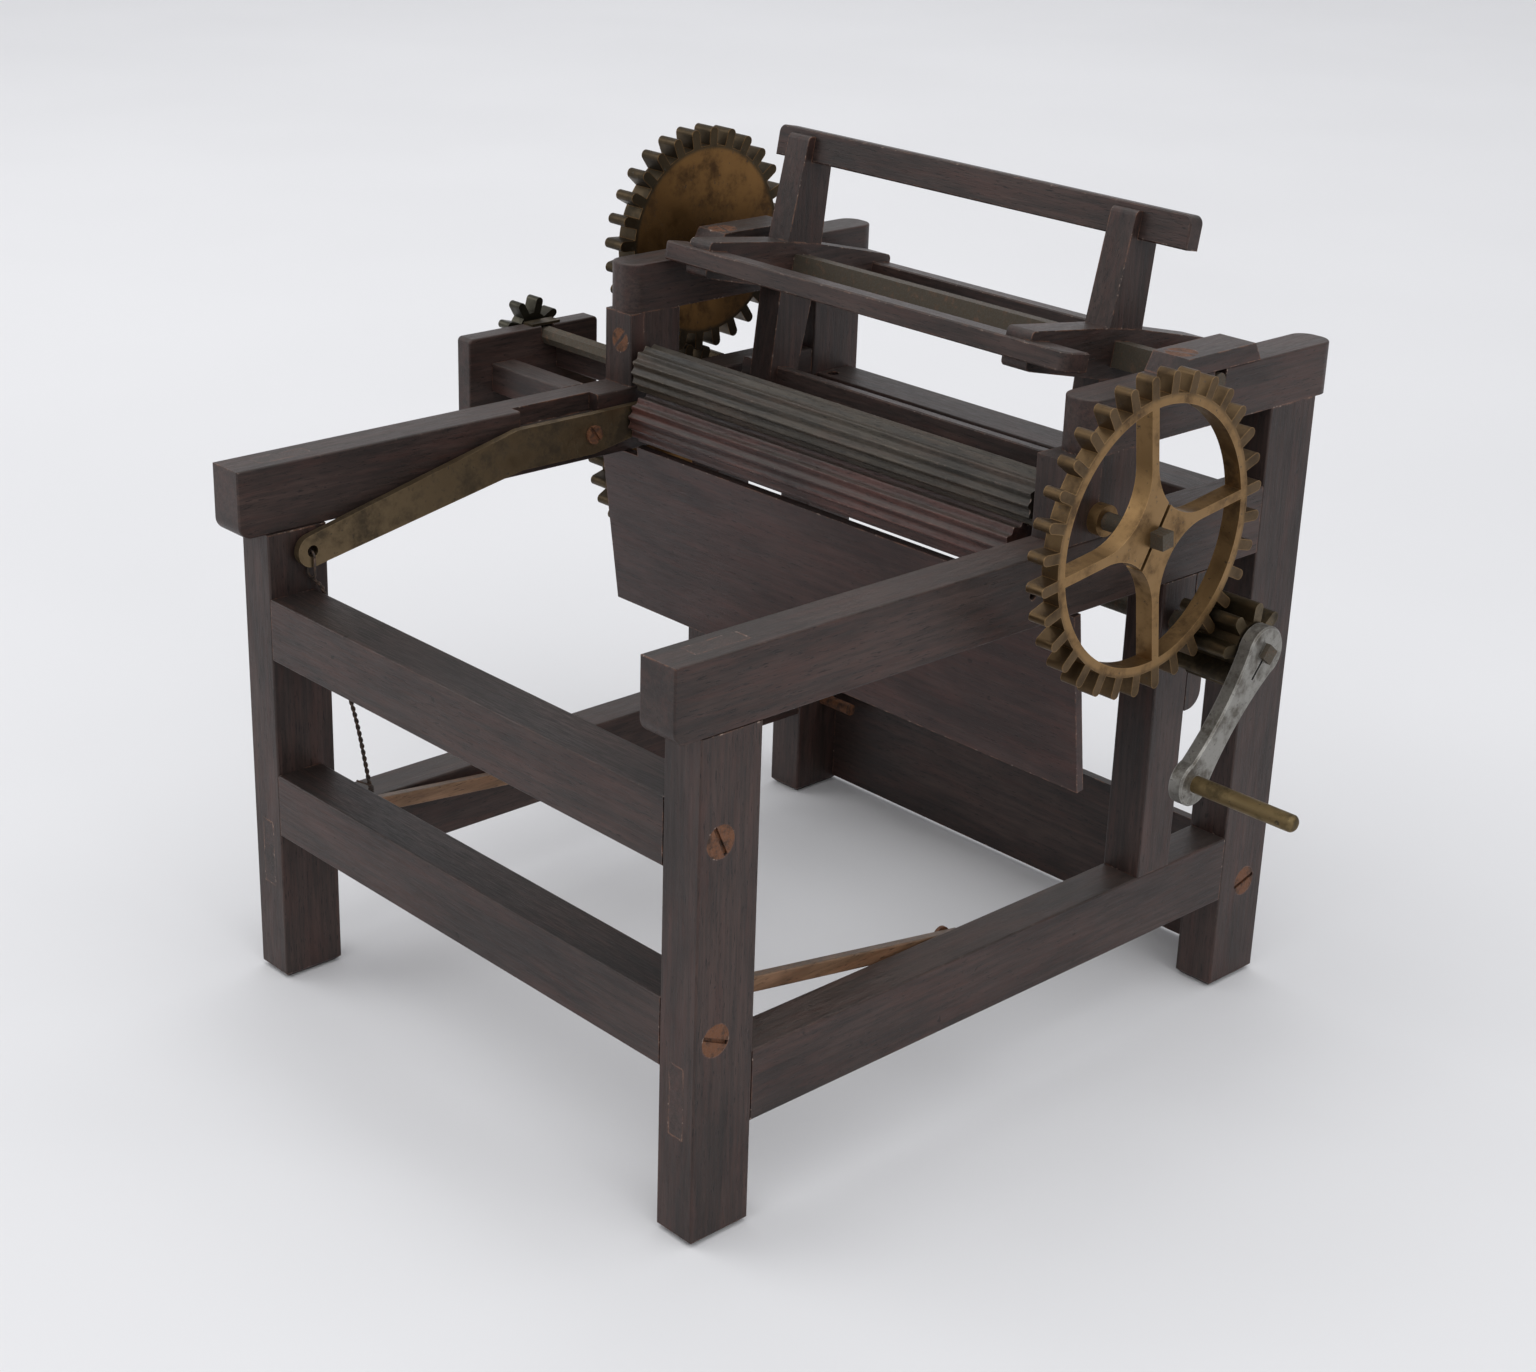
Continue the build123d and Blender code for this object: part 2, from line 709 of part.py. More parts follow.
def leaf_pinion():
    phase = meshing_phase(drive_angle, drive_teeth, drive_tooth_phase, pinion_leaves)
    gear = finger_gear(
        pinion_root_radius, pinion_tip_radius, pinion_leaf_width, pinion_leaves, phase
    )
    gear -= Circle(crank_shaft_radius)
    return plate(gear, pinion_inner_face, pinion_outer_face, crank_axis_y, crank_axis_z)


def reel_gear():
    gear = finger_gear(
        reel_gear_root_radius, reel_gear_tip_radius, reel_tooth_width, reel_gear_teeth, reel_tooth_phase
    )
    gear -= Circle(reel_journal_radius)
    return plate(gear, -reel_gear_outer_face, -reel_gear_inner_face, reel_axis_y, reel_axis_z)


def crank_gear():
    line = reel_direction + 180
    phase = meshing_phase(line, reel_gear_teeth, reel_tooth_phase, crank_gear_teeth)
    gear = finger_gear(
        crank_gear_root_radius, crank_gear_tip_radius, reel_tooth_width, crank_gear_teeth, phase
    )
    gear -= Circle(crank_shaft_radius)
    return plate(gear, -reel_gear_outer_face, -reel_gear_inner_face, crank_axis_y, crank_axis_z)


def star_pinion():
    gear = finger_gear(
        star_root_radius, star_tip_radius, star_tooth_width, star_teeth, star_tooth_phase
    )
    gear -= Circle(journal_radius)
    return plate(gear, -star_outer_face, -star_inner_face, roller_axis_y, roller_axis_z)


# ------------------------------------------------------------ rollers
def fluted_profile(radius, phase):
    """A round with rounded ribs: crests and hollows joined by smooth arcs."""
    points = []
    steps = 2 * flute_count
    for index in range(steps):
        level = radius if index % 2 == 0 else radius - flute_depth
        points.append(polar(level, phase + index * 360 / steps))
    return make_face(Spline(*points, periodic=True))


def upper_roller():
    profile = fluted_profile(roller_radius, 0) - Circle(journal_radius)
    left = upper_roller_left_gap - stand_inner
    right = stand_inner - upper_roller_right_gap
    return plate(profile, left, right, roller_axis_y, roller_axis_z)


def upper_shaft():
    y, z = roller_axis_y, roller_axis_z
    octagon = RegularPolygon(roller_shaft_flats / 2, 8, major_radius=False)
    bar = plate(octagon, -bracket_inner + side_gap, -half_width - side_gap, y, z)
    square_from = drive_gear_inner_face - side_gap
    square_to = drive_gear_outer_face + roller_shaft_proud
    shaft = rod(journal_radius, -star_outer_face, square_from, y, z)
    return shaft + bar + square_bar(shaft_square, square_from, square_to, y, z, drive_tooth_phase)


def shaft_bush():
    """The brass bush on the outside of the right upper post."""
    outer = rod(bush_radius, half_width, half_width + bush_length, roller_axis_y, roller_axis_z)
    bore = rod(
        journal_radius + running_gap, 0, half_width + 2 * bush_length, roller_axis_y, roller_axis_z
    )
    return outer - bore


def lower_roller():
    line = math.degrees(math.atan2(lower_axis_z - roller_axis_z, lower_axis_y - roller_axis_y))
    phase = meshing_phase(line, flute_count, 0, flute_count)
    profile = fluted_profile(roller_radius, phase) - Circle(axle_radius)
    left = lower_roller_left_gap - lever_inner
    right = lever_inner - lower_roller_right_gap
    return plate(profile, left, right, lower_axis_y, lower_axis_z)


def lower_axle():
    return rod(axle_radius, -lever_outer, lever_outer, lower_axis_y, lower_axis_z)


# ------------------------------------------------------------ crank
def crank_shaft():
    y, z = crank_axis_y, crank_axis_z
    left_end = -reel_gear_outer_face - crank_shaft_proud
    shaft = rod(crank_shaft_radius, left_end, pinion_outer_face, y, z)
    square_end = crank_arm_outer_face + crank_shaft_proud
    return shaft + square_bar(shaft_square, pinion_outer_face, square_end, y, z, crank_rest_angle)


def crank_profile():
    """The arm lies along +x of the profile: head at the shaft, boss at the handle."""
    head_touch = polar(crank_head_radius, crank_head_leave)
    boss_x, boss_y = polar(crank_boss_radius, crank_boss_meet)
    boss_touch = (crank_length + boss_x, boss_y)
    upper = Spline(head_touch, (crank_waist_place, crank_waist / 2), boss_touch)
    lower = mirror(upper, Plane.XZ)
    boss_line = Line(boss_touch, (boss_touch[0], -boss_touch[1]))
    head_line = Line((head_touch[0], -head_touch[1]), head_touch)
    body = make_face([upper, boss_line, lower, head_line])
    arm = body + Circle(crank_head_radius) + Pos(crank_length, 0) * Circle(crank_boss_radius)
    arm -= Rectangle(shaft_square, shaft_square)
    slit_at = shaft_square / 2 + crank_slit_length / 2
    arm -= Pos(slit_at, 0) * Rectangle(crank_slit_length, crank_slit_width)
    return arm - Pos(crank_length, 0) * Circle(handle_radius)


def crank_arm():
    arm = plate(
        crank_profile(), crank_arm_inner_face, crank_arm_outer_face,
        crank_axis_y, crank_axis_z, crank_rest_angle,
    )
    outer = arm.faces().sort_by(Axis.X)[-1]
    return chamfer(outer.outer_wire().edges(), crank_edge_chamfer)


def crank_handle():
    dy, dz = polar(crank_length, crank_rest_angle)
    handle = rod(handle_radius, crank_arm_inner_face, handle_end, crank_axis_y + dy, crank_axis_z + dz)
    end_edge = handle.edges().sort_by(Axis.X)[-1]
    return fillet(end_edge, handle_end_round)


# ------------------------------------------------------------ reel
def reel_shaft():
    y, z = reel_axis_y, reel_axis_z
    square_end = stand_inner - side_gap
    square = square_bar(reel_shaft_square, -square_end, square_end, y, z, -reel_turn)
    left_end = -reel_gear_outer_face - crank_shaft_proud
    journal = rod(reel_journal_radius, left_end, half_width, y, z)
    return square + journal


def cross_arm_profile():
    """A tapered board through the hub, slotted at both tips for the bars."""
    hub = cross_arm_width / 2
    tip = cross_tip_width / 2
    points = [
        (hub, cross_arm_width / 2),
        (cross_tip_radius, tip),
        (cross_tip_radius, -tip),
        (hub, -cross_arm_width / 2),
    ]
    mirrored = [(-x, y) for x, y in reversed(points)]
    board = outline(points + mirrored)
    tips = board.vertices().group_by(Axis.X)
    board = fillet(tips[0] + tips[-1], cross_end_round)
    slot_from = bar_radius - bar_depth / 2
    slot_length = 2 * (cross_tip_radius - slot_from)
    for hand in (-1, 1):
        board -= Pos(hand * cross_tip_radius, 0) * Rectangle(slot_length, bar_thickness)
    return board - Rectangle(reel_shaft_square, reel_shaft_square)


def cross_arm(side, index):
    """One of the two half-lapped boards of a reel cross."""
    outer = stand_inner - (left_cross_gap if side < 0 else right_cross_gap)
    faces = sorted((side * outer, side * (outer - cross_thickness)))
    middle = sum(faces) / 2
    turn = 90 - reel_turn - 90 * index
    arm = plate(cross_arm_profile(), *faces, reel_axis_y, reel_axis_z, turn)
    lap_faces = (middle, faces[1] + cut_past) if index == 0 else (faces[0] - cut_past, middle)
    lap = Rectangle(cross_arm_width, 2 * cross_arm_width)
    return arm - plate(lap, *lap_faces, reel_axis_y, reel_axis_z, turn)


def reel_bar(index):
    turn = 90 - reel_turn - 90 * index
    left = bar_left_gap - stand_inner
    right = stand_inner - bar_right_gap
    half_depth = bar_depth / 2
    half_thickness = bar_thickness / 2
    y_span = (bar_radius - half_depth, bar_radius + half_depth)
    bar = block((left, right), y_span, (-half_thickness, half_thickness))
    outer_edges = bar.edges().filter_by(Axis.Z).sort_by(Axis.Y)[2:]
    bar = fillet(outer_edges, bar_end_round)
    bar = chamfer(bar.edges().filter_by(Axis.X), bar_edge_chamfer)
    shift = -front_bar_shift if index == front_bar_index else 0
    return Pos(shift, reel_axis_y, reel_axis_z) * Rot(turn, 0, 0) * bar


# ------------------------------------------------------------ pressure levers
def lever_profile():
    """Seen from the side: a thin front end, a swell at the bend, and the roller's eye."""
    front = (lever_hole_y, lever_hole_z)
    bend = (lever_middle_y, lever_middle_z)
    pivot = (lever_pivot_y, lever_pivot_z)
    rear = (lower_axis_y, lower_axis_z)
    stations = [
        (front, lever_front_radius),
        (bend, lever_middle_radius),
        (pivot, lever_middle_radius),
        (rear, lever_rear_radius),
    ]
    profile = Pos(*front) * Circle(lever_front_radius)
    for (place, radius), (next_place, next_radius) in zip(stations, stations[1:]):
        profile += make_hull(
            (Pos(*place) * Circle(radius)).edges() + (Pos(*next_place) * Circle(next_radius)).edges()
        )
    profile -= Pos(*front) * Circle(lever_hole_radius)
    profile -= Pos(*pivot) * Circle(small_shank_radius + running_gap)
    return profile - Pos(*rear) * Circle(axle_radius + running_gap)


def pressure_lever(side):
    return plate(lever_profile(), side * lever_inner, side * lever_outer)


def lever_pivot_screw(side):
    head_face = side * (lever_inner - side_gap / 2 - small_head_height)
    screw = small_screw(pivot_screw_length, pivot_slot_turn)
    return Pos(head_face, lever_pivot_y, lever_pivot_z) * Rot(0, -90 * side, 0) * screw


def stick_ends(side):
    if side < 0:
        return (left_stick_front_z, left_stick_rear_z)
    return (right_stick_front_z, right_stick_rear_z)


def stick_turn(side):
    """The stick's slope in degrees: it rises towards the front."""
    front_z, rear_z = stick_ends(side)
    return math.degrees(math.atan2(rear_z - front_z, stick_rear_y - stick_front_y))


def spring_stick(side):
    rear_z = stick_ends(side)[1]
    run = (stick_rear_y - stick_front_y) / math.cos(math.radians(stick_turn(side)))
    z_span = (-stick_height / 2, stick_height / 2)
    stick = block((stick_inner, stick_outer), (-run, stick_overhang), z_span)
    stick = fillet(stick.edges().filter_by(Axis.Y), stick_edge_round)
    if side < 0:
        stick = mirror(stick, Plane.YZ)
    stick -= rod(small_shank_radius + running_gap, 0, side * half_width, 0, 0)
    return Pos(0, stick_rear_y, rear_z) * Rot(stick_turn(side), 0, 0) * stick


def stick_screw(side):
    rear_z = stick_ends(side)[1]
    head_face = side * (stick_inner - side_gap / 2 - small_head_height)
    screw = small_screw(small_screw_length, stick_slot_turn)
    return Pos(head_face, stick_rear_y, rear_z) * Rot(0, -90 * side, 0) * screw


def wire_loop(x, y, z, drop, half_span):
    """A long link of wire in an x-z plane, its upper round at the given place."""
    left_x = x - half_span
    right_x = x + half_span
    top = ThreePointArc((left_x, y, z - half_span), (x, y, z), (right_x, y, z - half_span))
    right = Line(top @ 1, (right_x, y, z - drop + half_span))
    bottom = ThreePointArc(right @ 1, (x, y, z - drop), (left_x, y, z - drop + half_span))
    left = Line(bottom @ 1, top @ 0)
    path = Wire([top, right, bottom, left])
    start = Plane(origin=top @ 0, z_dir=top % 0)
    return sweep(start * Circle(wire_radius), path=path)


def pull_wire(side):
    """A loop through the lever, twisted strands down to a loop round the stick."""
    x = side * lever_middle_x
    front_z, rear_z = stick_ends(side)
    stick_y = stick_front_y + wire_from_stick_front
    along = (stick_y - stick_front_y) / (stick_rear_y - stick_front_y)
    stick_z = front_z + (rear_z - front_z) * along
    upper_span = lever_thickness / 2 + 2 * wire_radius
    lower_span = stick_thickness / 2 + 2 * wire_radius
    upper_drop = lever_front_radius + 2 * lever_hole_radius
    lower_drop = stick_height + stick_loop_slack
    upper = wire_loop(x, lever_hole_y, lever_hole_z, upper_drop, upper_span)
    lower = wire_loop(x, stick_y, stick_z + lower_drop / 2, lower_drop, lower_span)
    rail_top = upper_cross_rail_bottom + upper_cross_rail_height
    rail_clear_y = cross_rail_depth + wire_behind_rail
    strand_top = (x, lever_hole_y, lever_hole_z - upper_drop + wire_radius)
    strand_end = (x, stick_y, stick_z + lower_drop / 2 - wire_radius)
    route = FilletPolyline(
        strand_top,
        (x, rail_clear_y, rail_top),
        (x, rail_clear_y + wire_rail_slant, upper_cross_rail_bottom),
        (x, stick_y - wire_knee_forward, strand_end[2] + wire_knee_up),
        strand_end,
        radius=wire_bend_radius,
    )
    start = Plane(origin=route @ 0, z_dir=route % 0)
    strand = sweep(start * Circle(twist_radius), path=route)
    wire = upper + Pos(*strand_top) * Sphere(wire_knot_radius)
    wire += lower
    wire += Pos(*strand_end) * Sphere(wire_knot_radius)
    return wire + strand


# ------------------------------------------------------------ the machine
for side in (-1, 1):
    name = side_name(side)
    save(f"front_{name}_post", front_post(side))
    save(f"rear_{name}_post", rear_post(side))
    save(f"{name}_side_rail", side_rail(side))
    save(f"{name}_stretcher", stretcher(side))
    save(f"{name}_crank_post", crank_post(side))
    save(f"{name}_upper_post", upper_post(side))
    save(f"{name}_bearing_keeper", keeper(side))
    save(f"{name}_cap_rail", cap_rail(side))
    save(f"{name}_reel_cap", reel_cap(side))
    save(f"{name}_pressure_lever", pressure_lever(side))
    save(f"{name}_spring_stick", spring_stick(side))
    save(f"{name}_pull_wire", pull_wire(side))
    for index in range(2):
        save(f"{name}_reel_cross_arm_{index + 1}", cross_arm(side, index))

upper_rail = front_cross_rail(upper_cross_rail_bottom, upper_cross_rail_height, frame_screws[0])
lower_rail = front_cross_rail(lower_cross_rail_bottom, lower_cross_rail_height, frame_screws[1])
save("front_upper_rail", upper_rail)
save("front_lower_rail", lower_rail)
save("rear_upper_rail", rear_cross_rail())
save("rear_lower_board", rear_board())
save("crank_bearing_block", backing_block())
save("apron_board", apron())
save("bracket_rail", bracket_rail())
save("bracket_front_arm", bracket_front_arm())
save("bracket_rear_arm", bracket_rear_arm())
save("bracket_strap", bracket_strap())
save("shaft_bush", shaft_bush())

save("upper_roller", upper_roller())
save("upper_roller_shaft", upper_shaft())
save("drive_gear", drive_gear())
save("star_pinion", star_pinion())
save("lower_roller", lower_roller())
save("lower_roller_axle", lower_axle())

save("crank_shaft", crank_shaft())
save("leaf_pinion", leaf_pinion())
save("crank_arm", crank_arm())
save("crank_handle", crank_handle())
save("crank_shaft_gear", crank_gear())

save("reel_shaft", reel_shaft())
save("reel_gear", reel_gear())
for index in range(bar_count):
    save(f"reel_bar_{index + 1}", reel_bar(index))

side_screws = [keeper_screw()]
for side in (-1, 1):
    for (y, z), slot_turn in zip(frame_screws, frame_slot_turns):
        side_screws.append(side_screw(side, y, z, slot_turn))
save("frame_screws", *side_screws)
save("reel_cap_screws", *[reel_cap_screw(side) for side in (-1, 1)])
save("lever_pivot_screws", *[lever_pivot_screw(side) for side in (-1, 1)])
save("spring_stick_screws", *[stick_screw(side) for side in (-1, 1)])
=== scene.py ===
import json
import math

import bmesh
import bpy
from mathutils import Matrix, Vector


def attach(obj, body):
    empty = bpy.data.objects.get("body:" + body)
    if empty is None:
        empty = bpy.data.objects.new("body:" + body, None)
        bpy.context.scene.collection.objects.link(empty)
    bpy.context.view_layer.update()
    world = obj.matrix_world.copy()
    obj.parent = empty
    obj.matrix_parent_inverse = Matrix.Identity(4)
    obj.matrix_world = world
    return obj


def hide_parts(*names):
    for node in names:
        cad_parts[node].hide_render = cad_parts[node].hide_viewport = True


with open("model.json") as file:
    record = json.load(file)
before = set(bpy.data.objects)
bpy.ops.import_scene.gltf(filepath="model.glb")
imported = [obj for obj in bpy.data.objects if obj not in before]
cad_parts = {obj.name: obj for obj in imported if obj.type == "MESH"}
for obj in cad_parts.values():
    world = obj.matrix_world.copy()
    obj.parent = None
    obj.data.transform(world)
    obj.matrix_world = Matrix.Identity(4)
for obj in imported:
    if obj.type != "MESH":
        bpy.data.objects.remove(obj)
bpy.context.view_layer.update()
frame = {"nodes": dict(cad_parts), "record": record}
nodes = frame["nodes"]
joint_place = {joint["name"]: joint["pos_m"] for joint in frame["record"]["behaviour"]["joints"]}

# ------------------------------------------------------------ the photograph's camera
image_width = 1536
camera_position = Vector((0.48390, -0.4708, 0.3710))
view_azimuth = math.radians(46.283)
view_elevation = math.radians(22.420)
view_roll = math.radians(1.921)
focal_pixels = 2593.5
sensor_width = 36.0
view_distance = 20

# ------------------------------------------------------------ the grain of each timber
grain_along_x = [
    "front_upper_rail", "front_lower_rail", "rear_upper_rail", "rear_lower_board", "apron_board",
    "bracket_front_arm", "bracket_rear_arm",
    "reel_bar_1", "reel_bar_2", "reel_bar_3", "reel_bar_4",
]
grain_along_y = [
    "left_side_rail", "right_side_rail", "left_stretcher", "right_stretcher",
    "left_cap_rail", "right_cap_rail", "left_reel_cap", "right_reel_cap", "bracket_rail",
    "left_reel_cross_arm_2", "right_reel_cross_arm_2",
]
grain_along_z = [
    "front_left_post", "front_right_post", "rear_left_post", "rear_right_post",
    "left_crank_post", "right_crank_post", "left_upper_post", "right_upper_post",
    "left_bearing_keeper", "right_bearing_keeper", "crank_bearing_block",
    "left_reel_cross_arm_1", "right_reel_cross_arm_1",
]
# The rails whose upward faces get a near-black painted shade instead of the dust and painted sheen
painted_shade_topped = ["front_upper_rail", "front_lower_rail"]
screw_nodes = ["frame_screws", "reel_cap_screws", "lever_pivot_screws", "spring_stick_screws"]
shaft_nodes = ["crank_shaft", "upper_roller_shaft", "reel_shaft", "lower_roller_axle"]

# ------------------------------------------------------------ colours: linear red, green and blue
# Woods: the dark of the grain, the light of it, and the rubbed edges
frame_wood = ((0.0215, 0.0145, 0.0125), (0.066, 0.0390, 0.0325), (0.17, 0.082, 0.050))
apron_wood = ((0.034, 0.0195, 0.0175), (0.070, 0.038, 0.033), (0.17, 0.082, 0.050))
upper_roller_wood = ((0.021, 0.0175, 0.0125), (0.072, 0.058, 0.041), (0.15, 0.12, 0.09))
lower_roller_wood = ((0.026, 0.0125, 0.0105), (0.094, 0.040, 0.031), (0.16, 0.085, 0.065))
spring_wood = ((0.13, 0.07, 0.035), (0.26, 0.15, 0.085), (0.4, 0.27, 0.17))
nick_colour = (0.34, 0.25, 0.20)
# Upward faces: dust with a painted sheen, greyer where the bright surroundings would reflect
dust_and_sheen_top = (0.085, 0.078, 0.070)
# Painted shade, nearly black, laid on the front rails' upward faces
painted_shade_top = (0.011, 0.0098, 0.0088)
redness = (1.10, 0.76, 0.70)

# Brasses: where it is clean, the patina, and how far the clean part reaches into the blotches
gear_brass = ((0.27, 0.165, 0.072), (0.10, 0.060, 0.031), 0.48)
spur_brass = ((0.20, 0.105, 0.036), (0.085, 0.046, 0.020), 0.44)
dull_brass = ((0.12, 0.09, 0.052), (0.045, 0.036, 0.025), 0.38)
star_brass = ((0.060, 0.055, 0.040), (0.026, 0.024, 0.018), 0.38)
lever_brass = ((0.22, 0.160, 0.092), (0.092, 0.070, 0.046), 0.42)
handle_brass = ((0.20, 0.145, 0.070), (0.070, 0.052, 0.027), 0.45)

# Grime with a painted shade on a gear's teeth: the gear's joint, the radius it starts at, its colour and
# its cover
drive_teeth_grime_and_shade = ("crimping_roller_spin", 0.0368, (0.052, 0.037, 0.023), 0.72)
reel_gear_teeth_grime_and_shade = ("reel_spin", 0.0290, (0.038, 0.033, 0.022), 0.85)
crank_gear_teeth_grime_and_shade = ("crank_spin", 0.0262, (0.038, 0.033, 0.022), 0.85)

# Irons: clean, rusty, and the two blotch values between which the rust begins
screw_iron = ((0.046, 0.031, 0.024), (0.14, 0.054, 0.021), 0.32, 0.58)
shaft_iron = ((0.080, 0.066, 0.048), (0.11, 0.060, 0.032), 0.52, 0.72)

cast_light = (0.27, 0.262, 0.24)
cast_dark = (0.10, 0.088, 0.072)
cast_pits = (0.05, 0.042, 0.036)
cast_edge = (0.50, 0.49, 0.465)
wire_dark = (0.05, 0.04, 0.034)
wire_light = (0.11, 0.07, 0.05)
paper_dark = (0.765, 0.765, 0.777)
paper_light = (0.785, 0.785, 0.797)
sky_colour = (0.86, 0.87, 0.9)

# ------------------------------------------------------------ texture sizes, mm
# Lengthwise and across the grain
patch_size = (45, 16)
figure_size = (28, 1.3)
fibre_size = (7, 0.42)
pore_size = (3.2, 0.34)
flush_size = (34, 4)
# The same every way
rub_size = 6
nick_size = 1.3
dent_size = 3.4
brass_blotch_size = 9
brass_speck_size = 1.5
rust_blotch_size = 2.6
rust_grain_size = 0.5
cast_blotch_size = 5
cast_pit_size = 0.9
wire_blotch_size = 1.2
paper_mottle_size = 300

# ------------------------------------------------------------ edges and relief, metres
wood_edge = 0.0008
brass_edge = 0.0005
cast_edge_width = 0.0007
wood_relief = 0.00014
brass_relief = 0.00015
rust_relief = 0.00018
cast_relief = 0.0002
teeth_dark_inside = 0.0012  # the grime and painted shade on the teeth fade in from this far inside its radius
teeth_dark_outside = 0.0004

# ------------------------------------------------------------ the twisted pull wires, metres
wire_radius = 0.00035
wire_sides = 8
strand_gap = 0.00034  # from the twist's middle to the middle of each strand
twist_pitch = 0.0042
twist_steps = 12  # points in one turn of the twist
wrap_turns = 3
knot_radius = 0.00095  # the solid wire's knots stand this far out at the ends
link_half_width = {"upper": 0.0018, "lower": 0.0021}
link_drop = {"upper": 0.0080, "lower": 0.0084}
link_steps = 8  # in each half round
rail_in = (0.0045, -0.0125)  # y and z from the upper link's top to where the twist meets the rail
rail_out = (0.0055, -0.0306)
knee = (-0.0050, 0.0373)  # y from the stick's link, z from its bottom
tail_length = 0.006
tail_direction = Vector((0, -1, 0.6))

# ------------------------------------------------------------ the studio, metres and watts
floor_half_width = 6.0
floor_front = -3.0
floor_back = 2.2
sweep_radius = 1.2
sweep_steps = 12
sweep_top = 3.0
sky_strength = 0.61
# name, place, target, size, power
soft_lights = [
    ("overhead", (0.35, -0.45, 1.5), (0.1, -0.1, 0.0), (2.0, 2.0), 13),
    ("left bank", (-1.3, -0.9, 0.9), (0, 0, 0.12), (1.2, 1.0), 6),
    ("right bank", (1.4, 0.1, 0.8), (0, 0, 0.12), (1.0, 1.0), 4),
    ("backdrop wash", (-0.9, 0.9, 2.2), (-1.9, 1.8, 0.7), (2.4, 1.0), 21),
]


# ------------------------------------------------------------ shader building
class Shader:
    """A material being put together from nodes."""

    def __init__(self, name):
        self.material = bpy.data.materials.new(name)
        self.material.use_nodes = True
        self.tree = self.material.node_tree
        self.surface = self.tree.nodes["Principled BSDF"]

    def node(self, kind, inputs=None, **settings):
        made = self.tree.nodes.new(kind)
        for name, value in settings.items():
            setattr(made, name, value)
        for name, value in (inputs or {}).items():
            self.feed(made.inputs[name], value)
        return made

    def feed(self, socket, value):
        if isinstance(value, bpy.types.NodeSocket):
            self.tree.links.new(value, socket)
        else:
            socket.default_value = value

    def place(self, stretch, shift=(0, 0, 0)):
        """Object coordinates in millimetres, divided by the stretch along each axis."""
        scale = tuple(1000 / length for length in stretch)
        coordinates = self.node("ShaderNodeTexCoord").outputs["Object"]
        moved = self.node("ShaderNodeMapping", {"Vector": coordinates, "Scale": scale, "Location": shift})
        return moved.outputs["Vector"]

    def noise(self, place, detail, roughness, distortion=0.0):
        inputs = {
            "Vector": place, "Scale": 1.0, "Detail": detail, "Roughness": roughness,
            "Distortion": distortion,
        }
        return self.node("ShaderNodeTexNoise", inputs).outputs["Fac"]

    def even_noise(self, size, detail, roughness, shift=(0, 0, 0)):
        """Noise of one size, in mm, along every axis."""
        return self.noise(self.place((size, size, size), shift), detail, roughness)

    def grain_noise(self, axis, size, shift, detail, roughness, distortion=0.0):
        """Noise with one size along the axis and another across it."""
        stretch = [size[1], size[1], size[1]]
        stretch[axis] = size[0]
        return self.noise(self.place(stretch, shift), detail, roughness, distortion)

    def band(self, value, low, high, start=0.0, end=1.0):
        """Maps low..high smoothly onto start..end."""
        inputs = {"Value": value, "From Min": low, "From Max": high, "To Min": start, "To Max": end}
        node = self.node("ShaderNodeMapRange", inputs, interpolation_type="SMOOTHSTEP")
        return node.outputs["Result"]

    def mix(self, amount, first, second):
        node = self.node("ShaderNodeMix", data_type="RGBA")
        self.feed(node.inputs[0], amount)
        self.feed(node.inputs[6], first if isinstance(first, bpy.types.NodeSocket) else (*first, 1))
        self.feed(node.inputs[7], second if isinstance(second, bpy.types.NodeSocket) else (*second, 1))
        return node.outputs[2]

    def math(self, operation, first, second):
        node = self.node("ShaderNodeMath", operation=operation, use_clamp=True)
        self.feed(node.inputs[0], first)
        self.feed(node.inputs[1], second)
        return node.outputs[0]

    def times(self, first, second):
        return self.math("MULTIPLY", first, second)

    def likeness(self, first, second):
        """1 where two directions agree, 0 where they are square to each other."""
        both = self.node("ShaderNodeVectorMath", operation="DOT_PRODUCT")
        self.feed(both.inputs[0], first)
        self.feed(both.inputs[1], second)
        return both.outputs["Value"]

    def edges(self, radius):
        """1 along outside and inside edges, 0 on open faces."""
        rounded = self.node("ShaderNodeBevel", {"Radius": radius}, samples=6).outputs["Normal"]
        normal = self.node("ShaderNodeNewGeometry").outputs["Normal"]
        return self.band(self.likeness(rounded, normal), 0.995, 0.86)

    def facing(self, direction, low, high):
        """How far the surface faces a direction."""
        normal = self.node("ShaderNodeNewGeometry").outputs["Normal"]
        return self.band(self.likeness(normal, direction), low, high)

    def beyond(self, joint, start, end):
        """0 within the start radius of a joint's axis and 1 past the end one."""
        middle = joint_place[joint]
        coordinates = self.node("ShaderNodeTexCoord").outputs["Object"]
        inputs = {"Vector": coordinates, "Scale": (0, 1, 1), "Location": (0, -middle[1], -middle[2])}
        offset = self.node("ShaderNodeMapping", inputs).outputs["Vector"]
        distance = self.node("ShaderNodeVectorMath", operation="LENGTH")
        self.feed(distance.inputs[0], offset)
        return self.band(distance.outputs["Value"], start, end)

    def bump(self, height, strength, distance):
        inputs = {"Height": height, "Strength": strength, "Distance": distance}
        return self.node("ShaderNodeBump", inputs).outputs["Normal"]

    def finish(self, colour, roughness, normal=None, metallic=0.0, specular=0.5):
        self.feed(self.surface.inputs["Base Color"], colour)
        self.feed(self.surface.inputs["Roughness"], roughness)
        self.feed(self.surface.inputs["Metallic"], metallic)
        self.feed(self.surface.inputs["Specular IOR Level"], specular)
        if normal is not None:
            self.feed(self.surface.inputs["Normal"], normal)
        return self.material


def scaled(colour, amount):
    return tuple(amount * part for part in colour)


def reddened(colour):
    return tuple(part * amount for part, amount in zip(colour, redness))


